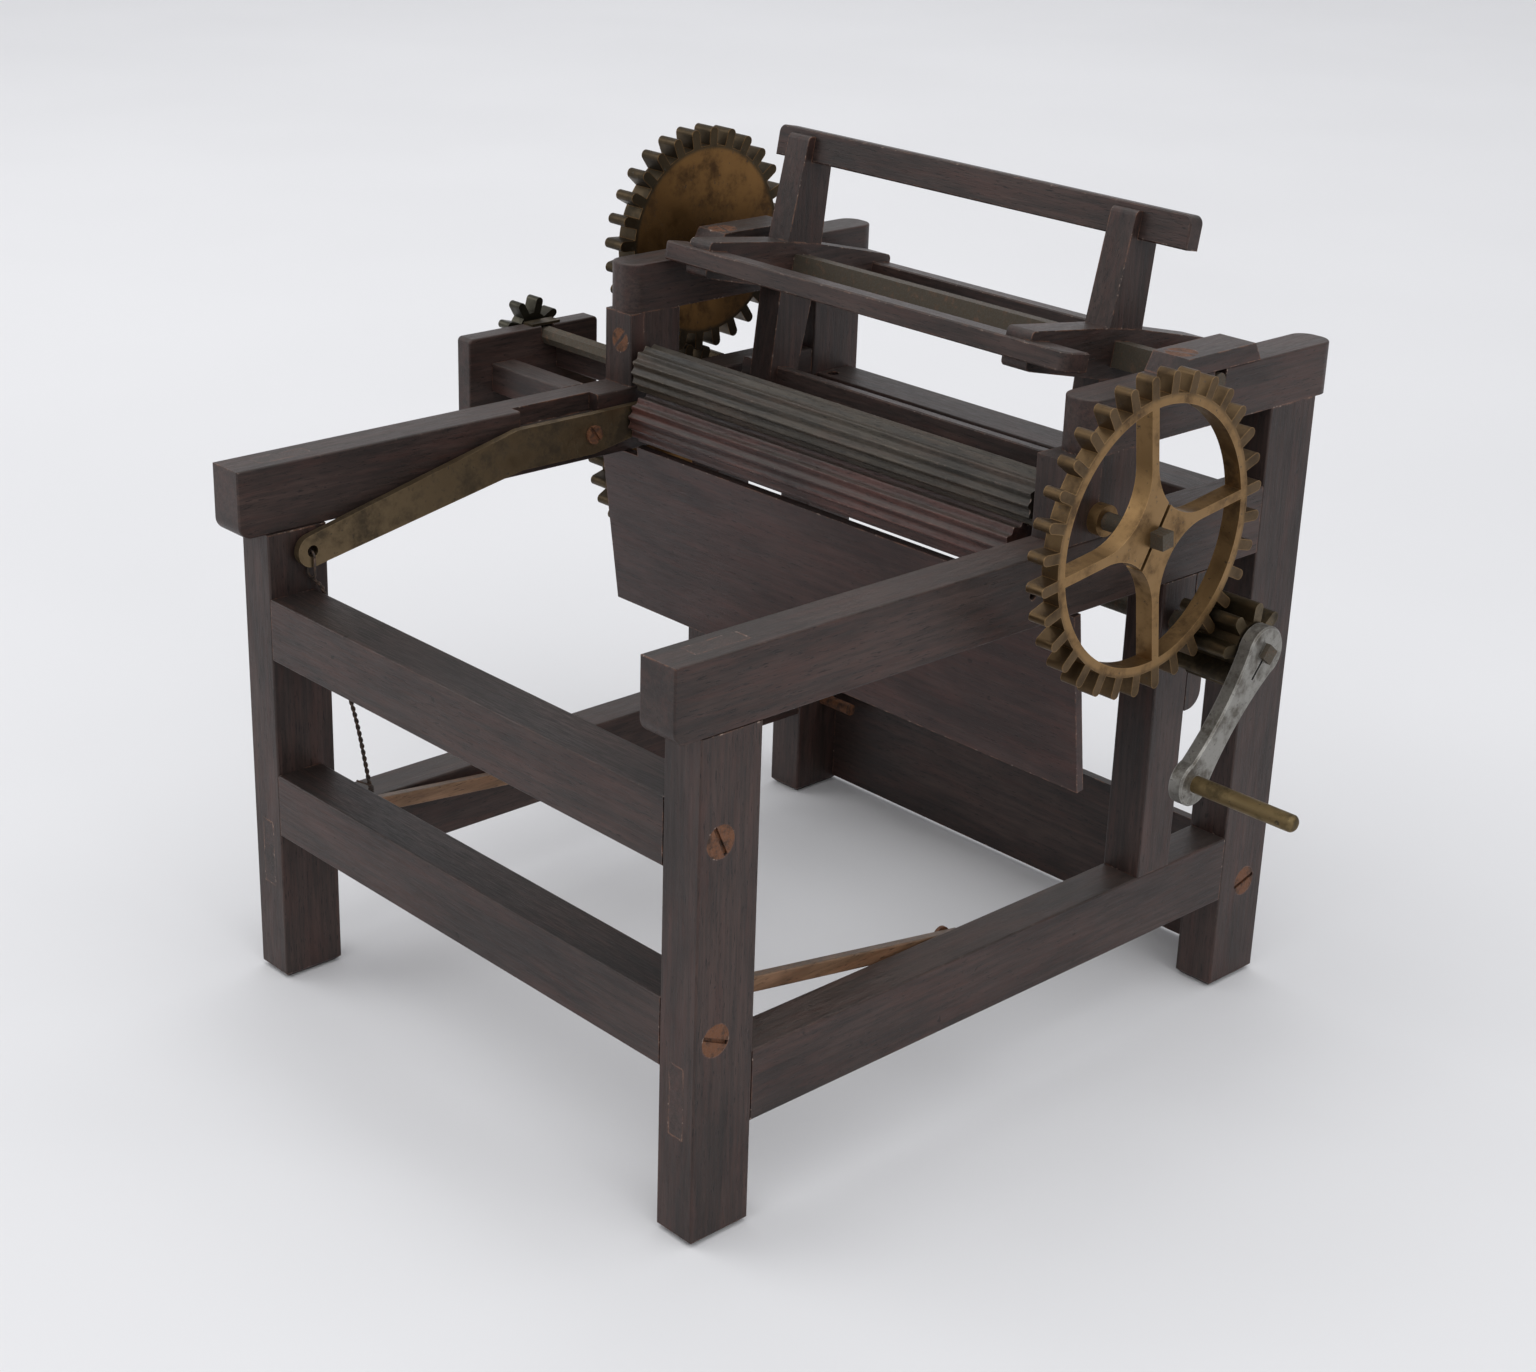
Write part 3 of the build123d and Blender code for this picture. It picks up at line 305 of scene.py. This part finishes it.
# ------------------------------------------------------------ materials
def grain_colour(shader, axis, moved, tones, fibres, pores):
    """Figure and fibres, with darker patches, redder ones and open pores."""
    dark, light, _ = tones
    figure = shader.grain_noise(axis, figure_size, moved, 4, 0.62, 0.25)
    coarse = shader.band(figure, 0.34, 0.68, 0, 0.6)
    fine = shader.band(fibres, 0.3, 0.72, 0, 0.4)
    colour = shader.mix(shader.math("ADD", coarse, fine), dark, light)
    patches = shader.grain_noise(axis, patch_size, moved, 4, 0.6)
    colour = shader.mix(shader.band(patches, 0.38, 0.66, 0, 0.65), colour, scaled(dark, 0.5))
    flush = shader.grain_noise(axis, flush_size, (moved[2], moved[0], moved[1]), 5, 0.7)
    colour = shader.mix(shader.band(flush, 0.44, 0.70, 0, 0.42), colour, reddened(light))
    return shader.mix(shader.times(pores, 0.8), colour, scaled(dark, 0.3))


def topped(shader, colour, fibres, top, cover):
    """The colour with another one laid on what faces up: dust with a painted sheen on most timbers, a
    painted shade on the front rails.
    """
    top_share = shader.band(fibres, 0.25, 0.7, 0.08, cover)
    return shader.mix(shader.times(shader.facing((0, 0, 1), 0.5, 0.95), top_share), colour, top)


def rubbed_edges(shader, colour, moved, worn):
    """Edges rubbed through the stain in places, with a few pale nicks."""
    edge = shader.edges(wood_edge)
    rub = shader.even_noise(rub_size, 5, 0.75, moved)
    colour = shader.mix(shader.times(edge, shader.band(rub, 0.44, 0.62)), colour, worn)
    nick = shader.even_noise(nick_size, 2, 0.5, moved)
    return shader.mix(shader.times(edge, shader.band(nick, 0.62, 0.68)), colour, nick_colour)


def wood(name, axis, tones, shift=0.0, top=dust_and_sheen_top):
    """Old stained hardwood: lengthwise grain, open pores, dents, rubbed edges and a top of its own: dust
    with a painted sheen, and a painted shade on the front rails.
    """
    shader = Shader(name)
    moved = (shift, 2 * shift, 3 * shift)
    fibres = shader.grain_noise(axis, fibre_size, moved, 3, 0.7)
    pores = shader.band(shader.grain_noise(axis, pore_size, moved, 2, 0.5), 0.40, 0.31)
    colour = grain_colour(shader, axis, moved, tones, fibres, pores)
    dark, light, worn = tones
    # the dust and painted sheen cover the tops thinly; the painted shade covers them almost whole
    cover = 0.34 if top[0] > light[0] else 0.9
    colour = topped(shader, colour, fibres, top, cover)
    colour = rubbed_edges(shader, colour, moved, worn)
    dents = shader.band(shader.even_noise(dent_size, 3, 0.55, moved), 0.30, 0.24)
    colour = shader.mix(shader.times(dents, 0.7), colour, scaled(dark, 0.4))
    roughness = shader.band(fibres, 0.3, 0.7, 0.36, 0.56)
    height = shader.math("SUBTRACT", fibres, shader.times(pores, 0.8))
    height = shader.math("SUBTRACT", height, shader.times(dents, 0.6))
    return shader.finish(colour, roughness, shader.bump(height, 0.4, wood_relief), 0.0, 0.36)


def brass(name, tones, teeth_grime_and_shade=None):
    """Old brass: brown patina in blotches, bright where it rubs, dark between, and grime with a painted
    shade on the teeth.
    """
    clean, patina, cover = tones
    shader = Shader(name)
    blotch = shader.even_noise(brass_blotch_size, 6, 0.65)
    speck = shader.even_noise(brass_speck_size, 4, 0.6)
    colour = shader.mix(shader.band(blotch, cover, cover + 0.25), clean, patina)
    spots = shader.band(speck, 0.62, 0.72)
    colour = shader.mix(shader.times(spots, 0.8), colour, scaled(patina, 0.3))
    if teeth_grime_and_shade is not None:
        # the teeth darkened: grime with a painted shade
        joint, radius, teeth_dark_colour, amount = teeth_grime_and_shade
        teeth = shader.beyond(joint, radius - teeth_dark_inside, radius + teeth_dark_outside)
        colour = shader.mix(shader.times(teeth, amount), colour, teeth_dark_colour)
    colour = shader.mix(shader.times(shader.edges(brass_edge), 0.45), colour, scaled(clean, 1.6))
    roughness = shader.band(blotch, 0.3, 0.7, 0.34, 0.6)
    metallic = shader.band(spots, 0, 1, 0.95, 0.4)
    return shader.finish(colour, roughness, shader.bump(speck, 0.2, brass_relief), metallic)


def iron(name, tones):
    """Iron with rust in blotches and grains."""
    clean, rust, low, high = tones
    shader = Shader(name)
    blotch = shader.even_noise(rust_blotch_size, 6, 0.7)
    grain = shader.even_noise(rust_grain_size, 3, 0.6)
    colour = shader.mix(shader.band(blotch, low, high), clean, rust)
    colour = shader.mix(shader.band(grain, 0.55, 0.75, 0, 0.5), colour, scaled(rust, 1.6))
    roughness = shader.band(grain, 0.3, 0.7, 0.5, 0.8)
    metallic = shader.band(blotch, low, high, 0.55, 0.1)
    return shader.finish(colour, roughness, shader.bump(grain, 0.5, rust_relief), metallic)


def cast_grey():
    """The crank's grey metal, dull with darker hollows and bright edges."""
    shader = Shader("grey cast metal")
    blotch = shader.even_noise(cast_blotch_size, 6, 0.65)
    pits = shader.even_noise(cast_pit_size, 3, 0.6)
    colour = shader.mix(shader.band(blotch, 0.4, 0.7), cast_light, cast_dark)
    colour = shader.mix(shader.band(pits, 0.6, 0.72, 0, 0.8), colour, cast_pits)
    colour = shader.mix(shader.times(shader.edges(cast_edge_width), 0.5), colour, cast_edge)
    roughness = shader.band(blotch, 0.3, 0.7, 0.36, 0.55)
    metallic = shader.band(pits, 0.6, 0.75, 0.85, 0.3)
    return shader.finish(colour, roughness, shader.bump(pits, 0.35, cast_relief), metallic)


def dark_wire():
    shader = Shader("dark wire")
    blotch = shader.even_noise(wire_blotch_size, 4, 0.6)
    colour = shader.mix(shader.band(blotch, 0.4, 0.65), wire_dark, wire_light)
    return shader.finish(colour, 0.55, None, 0.6)


def studio_paper():
    shader = Shader("studio paper")
    mottle = shader.even_noise(paper_mottle_size, 2, 0.5)
    colour = shader.mix(shader.band(mottle, 0.3, 0.7), paper_dark, paper_light)
    return shader.finish(colour, 0.9)


def give(names, material):
    """Puts one material on whole CAD nodes."""
    for name in names:
        mesh = nodes[name].data
        mesh.materials.clear()
        mesh.materials.append(material)


def dress_timber():
    for axis, names in enumerate((grain_along_x, grain_along_y, grain_along_z)):
        for count, name in enumerate(names):
            shift = 7.3 * count + 31 * axis  # so that no two timbers have the same figure
            # a painted shade on the front rails' tops, dust with a painted sheen on the others
            top = painted_shade_top if name in painted_shade_topped else dust_and_sheen_top
            if name == "apron_board":
                give([name], wood("apron wood", axis, apron_wood, 90.0))
            else:
                give([name], wood(f"wood {name}", axis, frame_wood, shift, top))
    give(["upper_roller"], wood("upper roller wood", 0, upper_roller_wood))
    give(["lower_roller"], wood("lower roller wood", 0, lower_roller_wood, 50.0))
    give(["left_spring_stick", "right_spring_stick"], wood("spring stick wood", 1, spring_wood))


def dress_metal(wire_material):
    give(["drive_gear", "shaft_bush"], brass("gear brass", gear_brass, drive_teeth_grime_and_shade))
    give(["reel_gear"], brass("reel gear brass", spur_brass, reel_gear_teeth_grime_and_shade))
    give(["crank_shaft_gear"], brass("crank gear brass", spur_brass, crank_gear_teeth_grime_and_shade))
    give(["leaf_pinion", "bracket_strap"], brass("dull brass", dull_brass))
    give(["star_pinion"], brass("star brass", star_brass))
    give(["left_pressure_lever", "right_pressure_lever"], brass("lever brass", lever_brass))
    give(["crank_handle"], brass("handle brass", handle_brass))
    give(screw_nodes, iron("rusty screws", screw_iron))
    give(shaft_nodes, iron("dark shafts", shaft_iron))
    give(["crank_arm"], cast_grey())
    give(["left_pull_wire", "right_pull_wire"], wire_material)


# ------------------------------------------------------------ twisted wires
def smoothed(points, rounds=3):
    """The path with its corners cut round."""
    for _ in range(rounds):
        cut = [points[0]]
        for near, far in zip(points, points[1:]):
            cut.append(near.lerp(far, 0.25))
            cut.append(near.lerp(far, 0.75))
        cut.append(points[-1])
        points = cut
    return points


def evenly(points, spacing):
    """Points at even spacing along the path."""
    lengths = [(far - near).length for near, far in zip(points, points[1:])]
    total = sum(lengths)
    count = max(2, round(total / spacing))
    even = []
    segment = 0
    passed = 0.0
    for step in range(count + 1):
        wanted = total * step / count
        while segment < len(lengths) - 1 and passed + lengths[segment] < wanted:
            passed += lengths[segment]
            segment += 1
        share = (wanted - passed) / lengths[segment]
        even.append(points[segment].lerp(points[segment + 1], min(share, 1)))
    return even


def around(step):
    """A unit step round an upright axis, at one of the twist's points."""
    turn = 2 * math.pi * step / twist_steps
    return Vector((math.cos(turn), math.sin(turn), 0))


def tube(mesh, points, radius):
    """A round wire along the points, closed at both ends."""
    across = Vector((1, 0, 0))
    rings = []
    for index, point in enumerate(points):
        ahead = points[min(index + 1, len(points) - 1)] - points[max(index - 1, 0)]
        ahead.normalize()
        across = (across - ahead * across.dot(ahead)).normalized()
        other = ahead.cross(across)
        ring = []
        for side in range(wire_sides):
            turn = 2 * math.pi * side / wire_sides
            offset = across * math.cos(turn) + other * math.sin(turn)
            ring.append(mesh.verts.new(point + radius * offset))
        rings.append(ring)
    for near, far in zip(rings, rings[1:]):
        for side in range(wire_sides):
            after = (side + 1) % wire_sides
            mesh.faces.new((near[side], near[after], far[after], far[side]))
    mesh.faces.new(list(reversed(rings[0])))
    mesh.faces.new(rings[-1])


def link(x, y, top, kind):
    """The closed path of a long link in an x-z plane."""
    half = link_half_width[kind]
    low = top - link_drop[kind]
    points = []
    for middle_z, start in ((top - half, 0), (low + half, math.pi)):
        for step in range(link_steps + 1):
            turn = start + math.pi * step / link_steps
            points.append(Vector((x + half * math.cos(turn), y, middle_z + half * math.sin(turn))))
    points.append(points[0].copy())
    return points


def corners_of(node):
    """A node's lowest and highest corners."""
    corners = [node.matrix_world @ Vector(corner) for corner in node.bound_box]
    low = Vector([min(corner[axis] for corner in corners) for axis in range(3)])
    high = Vector([max(corner[axis] for corner in corners) for axis in range(3)])
    return low, high


def wrapped_tail(start):
    """A strand's end wrapped round the twist, with its tip left standing off."""
    wrap = []
    for step in range(wrap_turns * twist_steps + 1):
        rise = Vector((0, 0, step * 2 * wire_radius / twist_steps))
        wrap.append(start + rise + (knot_radius - wire_radius) * around(step))
    outward = tail_direction.normalized() * tail_length
    wrap.append(wrap[-1] + outward * 0.5)
    wrap.append(wrap[-1] + outward * 0.5)
    return wrap


def twisted_mesh(node):
    """Two strands twisted together between a link at the lever and a link at the stick."""
    low, high = corners_of(node)
    x = (low.x + high.x) / 2
    hole_y = low.y + knot_radius
    stick_y = high.y - knot_radius
    top = high.z - wire_radius
    bottom = low.z + wire_radius
    link_top = bottom + link_drop["lower"]
    route = [
        Vector((x, hole_y, top - link_drop["upper"])),
        Vector((x, hole_y + rail_in[0], top + rail_in[1])),
        Vector((x, hole_y + rail_out[0], top + rail_out[1])),
        Vector((x, stick_y + knee[0], bottom + knee[1])),
        Vector((x, stick_y, link_top)),
    ]
    middle = evenly(smoothed(route), twist_pitch / twist_steps)
    mesh = bmesh.new()
    for first in (0, twist_steps / 2):
        strand = [point + strand_gap * around(first + index) for index, point in enumerate(middle)]
        tube(mesh, strand, wire_radius)
    tube(mesh, link(x, hole_y, top, "upper"), wire_radius)
    tube(mesh, link(x, stick_y, link_top, "lower"), wire_radius)
    tube(mesh, wrapped_tail(middle[-1]), 0.8 * wire_radius)
    return mesh


def smooth_object(name, mesh, material):
    """A new object with the mesh and one material, shaded smooth."""
    data = bpy.data.meshes.new(name)
    mesh.to_mesh(data)
    mesh.free()
    for polygon in data.polygons:
        polygon.use_smooth = True
    data.materials.append(material)
    made = bpy.data.objects.new(name, data)
    bpy.context.scene.collection.objects.link(made)
    return made


def twisted_wire(side, material):
    mesh = twisted_mesh(nodes[f"{side}_pull_wire"])
    wire = smooth_object(f"{side}_twisted_wire", mesh, material)
    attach(wire, f"{side}_pull")
    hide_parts(f"{side}_pull_wire")


# ------------------------------------------------------------ studio
def floor_sheet():
    """A pale sweep: flat under the machine, curving up far behind it."""
    profile = [(floor_front, 0.0)]
    for step in range(sweep_steps + 1):
        turn = math.pi / 2 * step / sweep_steps
        behind = floor_back + sweep_radius * math.sin(turn)
        profile.append((behind, sweep_radius * (1 - math.cos(turn))))
    profile.append((floor_back + sweep_radius, sweep_top))
    mesh = bmesh.new()
    rows = [[mesh.verts.new((side * floor_half_width, y, z)) for side in (-1, 1)] for y, z in profile]
    for near, far in zip(rows, rows[1:]):
        mesh.faces.new((near[0], near[1], far[1], far[0]))
    floor = smooth_object("studio_floor", mesh, studio_paper())
    floor.rotation_euler.z = view_azimuth


def softbox(name, place, target, size, power):
    light = bpy.data.lights.new(name, "AREA")
    light.shape = "RECTANGLE"
    light.size, light.size_y = size
    light.energy = power
    lamp = bpy.data.objects.new(name, light)
    lamp.location = place
    lamp.rotation_euler = (Vector(target) - Vector(place)).to_track_quat("-Z", "Y").to_euler()
    bpy.context.scene.collection.objects.link(lamp)


def light_studio():
    world = bpy.data.worlds.new("studio")
    world.use_nodes = True
    sky = world.node_tree.nodes["Background"]
    sky.inputs["Color"].default_value = (*sky_colour, 1)
    sky.inputs["Strength"].default_value = sky_strength
    bpy.context.scene.world = world
    for light in soft_lights:
        softbox(*light)
    bpy.context.scene.view_settings.view_transform = "Standard"


def set_camera():
    back = Vector(
        (
            math.sin(view_azimuth) * math.cos(view_elevation),
            -math.cos(view_azimuth) * math.cos(view_elevation),
            math.sin(view_elevation),
        )
    )
    level = Vector((math.cos(view_azimuth), math.sin(view_azimuth), 0))
    upright = back.cross(level)
    right = math.cos(view_roll) * level + math.sin(view_roll) * upright
    up = back.cross(right)
    data = bpy.data.cameras.new("camera")
    data.sensor_width = sensor_width
    data.lens = focal_pixels * sensor_width / image_width
    data.clip_end = view_distance
    camera = bpy.data.objects.new("camera", data)
    turned = Matrix((right, up, back)).transposed().to_4x4()
    camera.matrix_world = Matrix.Translation(camera_position) @ turned
    bpy.context.scene.collection.objects.link(camera)
    bpy.context.scene.camera = camera


wire_material = dark_wire()
dress_timber()
dress_metal(wire_material)
for side in ("left", "right"):
    twisted_wire(side, wire_material)
floor_sheet()
light_studio()
set_camera()
